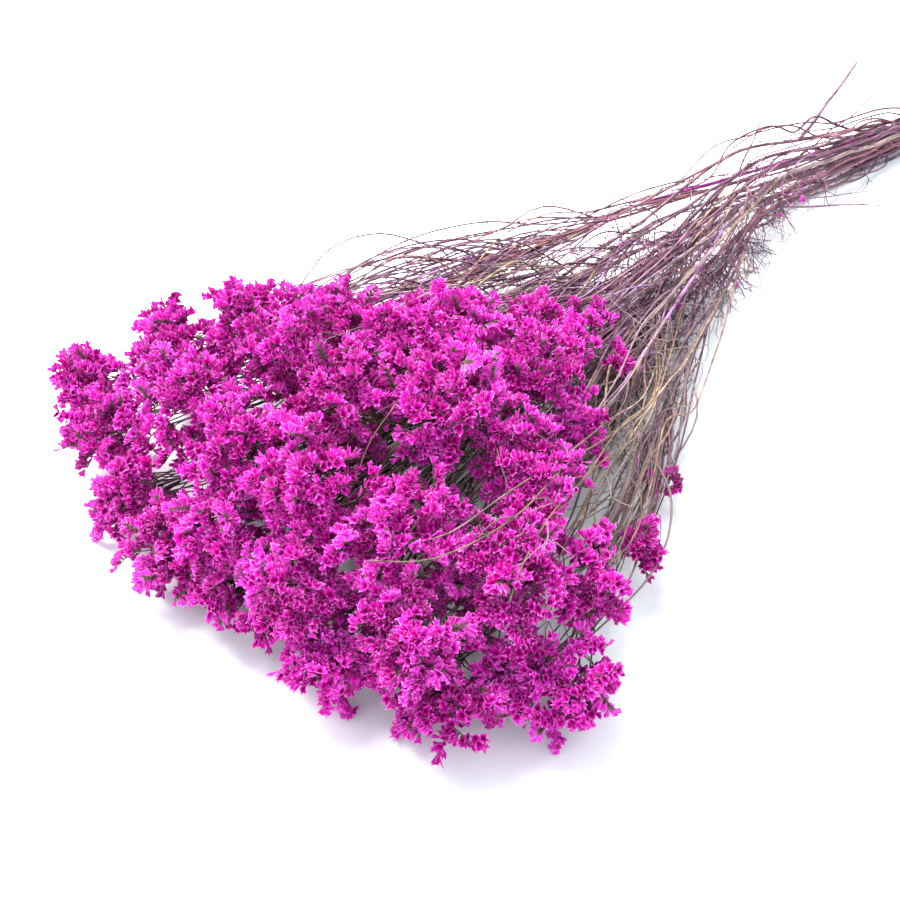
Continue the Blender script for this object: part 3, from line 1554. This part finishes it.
    def add_head_twigs(self, flower: FlowerHead) -> None:
        """Add the twigs inside a head: to each hub, along each spike, and a bract per floret.

        Args:
            flower: The head.
        """
        head, rng = flower.head, self.rng
        parent = self.lines[head.name]
        back_first = sorted(flower.clusters, key=lambda one: float(np.dot(one.hub, head.axis)))
        feeders = min(self.feeders_each, len(back_first) - 1)
        for order, cluster in enumerate(back_first):
            if order < feeders:
                self.add_feeder(parent, cluster, head)
            else:
                back = rng.integers(1, 5)
                start, way = parent[-back], unit(parent[-back] - parent[-back - 1])
                curve = np.array([bezier(start, way, cluster.hub, cluster.way, share)
                                  for share in (0, 0.2, 0.4, 0.6, 0.8, 1)])
                self.add_twig(curve, self.twig_radius, 3, 1.0, self.ring_spacing)
            for spike in cluster.spikes:
                line = spike[::3]
                thin = np.linspace(self.spike_radius[0], self.spike_radius[1], len(line))
                self.buffer.add_tube(line, thin, 3, tint=0.3, olive=0.85)
        self.add_bracts(np.vstack(flower.bases)[::2], np.vstack(flower.ways)[::2],
                        np.vstack(flower.runs)[::2])

    def add_bracts(self, bases: np.ndarray, ways: np.ndarray, runs: np.ndarray) -> None:
        """Add a small brown bract at the foot of each floret.

        Args:
            bases: Feet of the florets.
            ways: The ways they open.
            runs: The runs of their spikes.
        """
        count = len(bases)
        sides = units(np.cross(ways, runs))
        outs = units(np.cross(sides, ways))
        width = self.bract_width
        long = self.bract_length * self.rng.uniform(0.7, 1.25, (count, 1))
        foot = bases - outs * width * 0.5
        places = np.stack([foot - sides * width, foot + sides * width,
                           foot + ways * long * 0.45 - outs * width * 0.9,
                           foot + ways * long - outs * width * 0.3], axis=1)
        faces = (LEAF_FACES[None] + (np.arange(count) * 4)[:, None, None]).reshape(-1, 3)
        self.buffer.add(places.reshape(-1, 3), faces, tint=0.6, knot=0.1,
                        olive=np.repeat(self.rng.uniform(0.55, 1.0, count), 4))

    def add_companions(self) -> None:
        """Add the thin low branches that run beside the stem through the waist of the bunch."""
        rng = self.rng
        line = self.main_line()
        for _ in range(self.companions_each):
            low, high = rng.uniform(*self.companion_starts), rng.uniform(*self.companion_ends)
            start, last = nearest(line[:, 0], low), nearest(line[:, 0], high)
            step = max(3, round(self.companion_step / self.ring_spacing))
            angle, size = rng.uniform(0, 2 * math.pi), rng.uniform(*self.companion_offsets)
            lift = UP * rng.uniform(0, self.companion_lift) * (STEMS[self.number - 1][1] == 2)
            knots = [line[start]]
            for at in range(start + step, last, step):
                angle += rng.normal(0, 0.9)
                knots.append(line[at] + lift + size * rng.uniform(0.3, 1.4)
                             * turned(unit(line[at + 1] - line[at]), angle))
            radius = rng.uniform(*self.companion_radii)
            self.add_twig(np.array(knots), (radius, 0.5 * radius), 5, 0.0, self.ring_spacing)

    def add_side_twigs(self) -> None:
        """Add dead side twigs near the waist, thickest on the side that faces the picture."""
        column = STEMS[self.number - 1][0]
        line, rng = self.main_line(), self.rng
        for at in range(3, len(line) - 12):
            reach = line[at][0]
            if not self.side_stretch[0] < reach < self.side_stretch[1]:
                continue
            dense = column == 3 and reach > self.dense_from
            habit = self.dense_twigs if dense else self.sparse_twigs
            for _ in range(habit.tries):
                if rng.random() > habit.share:
                    continue
                way = unit(line[at + 1] - line[at])
                aside = np.array([0.0, 1.0, 0.0]) if dense else unit(rng.normal(0, 1, 3))
                lift = UP * rng.uniform(-0.8, 0.45)
                start_way = unit(way * rng.uniform(0.3, 1.0) + (aside + lift) * 0.8
                                 + rng.normal(0, 0.3, 3))
                length, radius = rng.uniform(*habit.lengths), rng.uniform(*self.side_radii)
                self.walk_twig(line[at], start_way, length, radius, habit.forks,
                               np.array(self.side_aim), self.side_kink)

    def add_fan_twigs(self) -> None:
        """Add the fine branching twigs that fill the fan between the stems."""
        rng = self.rng
        for line in self.lines.values():
            for at in range(4, len(line) - 7):
                inside = self.fan_stretch[0] < line[at][0] < self.fan_stretch[1]
                if not inside or rng.random() > self.fan_twig_share:
                    continue
                way = unit(line[at + 1] - line[at])
                out = turned(way, rng.uniform(0, 2 * math.pi))
                aim = unit(np.array([line[at][0], line[at][1], self.fan_rise * rng.random()]))
                self.walk_twig(line[at], unit(way + out * rng.uniform(0.35, 0.9)),
                               rng.uniform(*self.fan_lengths), rng.uniform(*self.fan_radii), 2,
                               aim * 1.1, self.fan_kink)

    def add_strays(self) -> None:
        """Add the stray twigs that stand out from the bunch near its waist."""
        rng = self.rng
        line = self.main_line()
        for stem, reach, end, radius in STRAYS:
            if stem != self.number:
                continue
            start = line[nearest(line[:, 0], reach * MM)]
            tip = np.array(end) * MM
            way = unit(tip - start)
            length = np.linalg.norm(tip - start)
            knots = [start]
            for share in (0.22, 0.45, 0.7):
                bend = rng.normal(0, self.stray_bend, 3) * length
                knots.append(start + (tip - start) * share + bend)
            knots.append(tip)
            self.add_twig(np.array(knots), (radius * MM, 0.7 * radius * MM), 5, 0.0,
                          self.ring_spacing)
            for knot in knots[1:-1]:
                self.walk_twig(knot, unit(way + rng.normal(0, 0.7, 3)),
                               rng.uniform(*self.spur_lengths), self.spur_radius, 1, way * 0.2,
                               self.spur_kink)

    def add_crossings(self) -> None:
        """Add the thin branches that cross over the front heads."""
        rng = self.rng
        line = self.main_line()
        for stem, leaves, first_turn, last_turn, last_reach, top in CROSSINGS:
            if stem != self.number:
                continue
            knots = [line[nearest(np.linalg.norm(line[:, :2], axis=1), leaves * MM)]]
            for share in np.linspace(0, 1, self.crossing_knots):
                angle = math.radians(first_turn + (last_turn - first_turn) * share ** 3)
                reach = np.interp(math.sin(math.pi / 2 * share), (0, 1),
                                  (self.crossing_reach, last_reach * MM))
                level = np.interp(math.sin(math.pi * share / 1.3), (0, 1),
                                  (self.crossing_height, top * MM))
                knots.append(np.array([reach * math.cos(angle), reach * math.sin(angle), level])
                             + rng.normal(0, self.crossing_stray, 3))
            self.add_twig(np.array(knots), self.crossing_radius, 3, 0.75, self.ring_spacing, True)
            for before, knot in zip(knots[1:-1], knots[2:]):
                onward = unit(knot - before)
                self.walk_twig(knot, unit(onward + rng.normal(0, 0.55, 3)),
                               rng.uniform(*self.crossing_spurs), self.crossing_radius[1], 1,
                               onward * 0.5 - UP * 0.5, self.spur_kink)

    def walk_twig(self, start: np.ndarray, way: np.ndarray, length: float, radius: float,
                  forks: int, aim: np.ndarray, kink: float) -> None:
        """Add a fine crooked twig that forks.

        Args:
            start: Its foot.
            way: The way it starts.
            length: Its length.
            radius: Radius at its foot.
            forks: How many times it may fork again.
            aim: The way it bends to as it grows, longer for a stronger pull.
            kink: How sharply it turns at its nodes.
        """
        rng, step = self.rng, self.twig_step
        count = max(3, round(length / step))
        line = [start]
        for at in range(count):
            turn = kink if at % 2 else 0.25 * kink
            way = unit(way + rng.normal(0, turn, 3) + aim * self.aim_pull)
            line.append(line[-1] + way * step)
        points = np.array(line)
        if not self.fan.plan.holds(points):
            return
        points[:, 2] = np.maximum(points[:, 2], radius + self.floor_gap)
        radii = np.linspace(radius, max(self.least_radius, radius * 0.55), len(points))
        dyed = rng.random() < self.dyed_share
        reach = np.clip((points[:, 0] - self.twig_olive[0]) / self.twig_olive[1], 0, 1)
        self.buffer.add_tube(points, radii, 3,
                             tint=self.dyed_tint if dyed else self.pick_tint(),
                             knot=rng.uniform(0, 0.25), olive=0.7 * reach,
                             pith=self.greyed(points))
        if forks and count > 4:
            for _ in range(rng.integers(1, 3 + forks // 2)):
                at = rng.integers(2, count - 1)
                onward = unit(points[at + 1] - points[at])
                out = turned(onward, rng.uniform(0, 2 * math.pi))
                self.walk_twig(points[at], unit(onward + out * rng.uniform(0.5, 1.1)),
                               length * rng.uniform(0.35, 0.7), radius * 0.76, forks - 1, aim,
                               kink)
        elif points[-1][2] < self.remnant_height and rng.random() < self.remnant_share:
            self.add_remnant(points[-1], way)

    def add_remnant(self, foot: np.ndarray, way: np.ndarray) -> None:
        """Add a few stray florets at the tip of a twig.

        Args:
            foot: The tip.
            way: The way it points.
        """
        rng = self.rng
        count = int(rng.integers(1, 4))
        ways = units(way[None] + rng.normal(0, 0.5, (count, 3)))
        bases = foot + rng.normal(0, 0.5 * MM, (count, 3))
        sides = np.repeat(across(way)[0][None], count, axis=0)
        self.shape.strew(self.buffer, bases, ways, sides, rng.uniform(0.3, 0.8, count), rng, 1)

    def build(self, bark: bpy.types.Material, dye: bpy.types.Material,
              shift: np.ndarray) -> bpy.types.Object:
        """Make the whole stem.

        Args:
            bark: Finish of the stem.
            dye: Finish of the stray florets.
            shift: From the fan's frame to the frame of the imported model.

        Returns:
            The piece.
        """
        self.add_stems()
        for flower in self.flowers:
            self.add_head_twigs(flower)
        self.add_companions()
        self.add_side_twigs()
        self.add_fan_twigs()
        self.add_strays()
        self.add_crossings()
        return self.buffer.make(f"stem_with_twigs_{self.number:02d}", f"stem_{self.number:02d}",
                                "stem", [bark, dye], shift, lowest=0.1 * MM)


@dataclass
class RubberBand:
    """The band that holds the cut ends: a rounded loop, flat where it lies on the floor."""

    plan: FanPlan
    corner_steps: int = 8
    edge_round: float = 0.35 * MM

    def build(self, material: bpy.types.Material, shift: np.ndarray) -> bpy.types.Object:
        """Make the band.

        Args:
            material: Its finish.
            shift: From the fan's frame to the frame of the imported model.

        Returns:
            The piece.
        """
        plan = self.plan
        slots = [plan.band_slot(column, row) for column in range(plan.columns)
                 for row in range(plan.rows)]
        sides, levels = zip(*slots)
        middle = ((min(sides) + max(sides)) / 2, (min(levels) + max(levels)) / 2)
        half = ((max(sides) - min(sides)) / 2, (max(levels) - min(levels)) / 2)
        near = plan.stem_radius + plan.touch_gap
        far = near + plan.band_thickness
        wide, soft = plan.band_width / 2, self.edge_round
        profile = [(near, -wide + soft), (near + soft, -wide), (far - soft, -wide),
                   (far, -wide + soft), (far, wide - soft), (far - soft, wide),
                   (near + soft, wide), (near, wide - soft)]
        places = []
        for quarter in range(4):
            sign_y, sign_z = (1, -1, -1, 1)[quarter], (1, 1, -1, -1)[quarter]
            for step in range(self.corner_steps + 1):
                angle = math.pi / 2 * (quarter + step / self.corner_steps)
                for out, ahead in profile:
                    side = middle[0] + sign_y * half[0] + out * math.cos(angle)
                    level = middle[1] + sign_z * half[1] + out * math.sin(angle)
                    places.append(plan.behind_waist(plan.band_behind_waist - ahead, side, level))
        rings, around = 4 * (self.corner_steps + 1), len(profile)
        faces = []
        for ring in range(rings):
            after = (ring + 1) % rings
            for at in range(around):
                beside = (at + 1) % around
                one, two = ring * around + at, ring * around + beside
                three, four = after * around + beside, after * around + at
                faces += [(one, two, three), (one, three, four)]
        buffer = MeshBuffer()
        buffer.add(np.array(places), np.array(faces))
        return buffer.make("rubber_band", "band", "band", [material], shift)


@dataclass
class Studio:
    """The floor, the soft light and the camera."""

    shift: np.ndarray
    floor_size: float = 8.0
    eye: Triple = (0.6240, 0.2831, 0.295)
    heading: float = math.radians(-135.5)
    pitch: float = math.radians(-40)
    sensor: float = 36.0
    lens: float = 36 * 1013 / 900
    middle: Triple = (0.33, 0.06, 0.04)
    sky: Triple = (0.88, 0.96, 1.0)
    sky_strength: float = 1.62
    key_energy: float = 132.0
    key_size: float = 1.3
    key_colour: Triple = (1.0, 0.985, 0.97)
    key_place: Triple = (0.7, 0.75, 1.5)

    def build(self) -> None:
        """Make the floor, the lights and the camera."""
        scene = bpy.context.scene
        half = self.floor_size / 2
        mesh = bpy.data.meshes.new("floor")
        mesh.from_pydata([(-half, -half, 0), (half, -half, 0), (half, half, 0), (-half, half, 0)],
                         [], [(0, 1, 2, 3)])
        mesh.materials.append(FloorFinish().make())
        floor = bpy.data.objects.new("floor", mesh)
        scene.collection.objects.link(floor)
        world = bpy.data.worlds.new("soft_daylight")
        world.use_nodes = True
        sky = world.node_tree.nodes["Background"]
        sky.inputs["Color"].default_value = (*self.sky, 1.0)
        sky.inputs["Strength"].default_value = self.sky_strength
        scene.world = world
        centre = Vector(self.middle) + Vector(self.shift)
        flat = Vector((math.cos(self.heading), math.sin(self.heading), 0.0))
        right = Vector((flat.y, -flat.x, 0.0))
        key = bpy.data.lights.new("window", "AREA")
        key.energy = self.key_energy
        key.size = self.key_size
        key.color = self.key_colour
        lamp = bpy.data.objects.new("window", key)
        left, ahead, high = self.key_place
        lamp.location = centre - right * left + flat * ahead + Vector((0, 0, high))
        lamp.rotation_euler = (centre - lamp.location).to_track_quat("-Z", "Y").to_euler()
        scene.collection.objects.link(lamp)
        lens = bpy.data.cameras.new("camera")
        lens.sensor_width = self.sensor
        lens.lens = self.lens
        lens.clip_start = 0.01
        camera = bpy.data.objects.new("camera", lens)
        camera.location = Vector(self.eye) + Vector(self.shift)
        look = flat * math.cos(self.pitch) + Vector((0, 0, math.sin(self.pitch)))
        camera.rotation_euler = look.to_track_quat("-Z", "Y").to_euler()
        scene.collection.objects.link(camera)
        scene.camera = camera
        scene.view_settings.view_transform = "Standard"


def frame_shift(plan: FanPlan) -> np.ndarray:
    """How far the fan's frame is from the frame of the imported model, read at the band.

    Args:
        plan: Sizes of the fan.

    Returns:
        The shift to add to places in the fan.
    """
    low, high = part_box("band")
    middle = plan.behind_waist(plan.band_behind_waist, 0.0, 0.0)
    return np.array([(low.x + high.x) / 2 - middle[0], (low.y + high.y) / 2 - middle[1], 0.0])


def main() -> None:
    """Build the bunch, piece by piece."""
    logging.basicConfig(level=logging.INFO, format="%(name)s: %(message)s")
    plan = FanPlan()
    shift = frame_shift(plan)
    Studio(shift).build()
    fan = Fan(plan)
    fan.lay_out(random.Random(LAYOUT_SEED))
    fan.bend_clear()
    dye, bark = FloretFinish().make(), StemFinish().make()
    shape = FloretShape()
    flowers = [FlowerHead(head, fan, shape, FLOWER_SEED + number)
               for number, head in enumerate(fan.heads)]
    pieces = []
    for number in range(1, len(STEMS) + 1):
        own = [flower for flower in flowers if flower.head.stem == number]
        pieces.append(StemWork(number, fan, own, shape).build(bark, dye, shift))
        pieces += [flower.build(dye, shift) for flower in own]
    pieces.append(RubberBand(plan).build(BandFinish().make(), shift))
    for piece in pieces:
        log.info("%s: %d triangles", piece.name, len(piece.data.polygons))
    log.info("%d triangles in all", sum(len(piece.data.polygons) for piece in pieces))


if __name__ == "__main__":
    main()
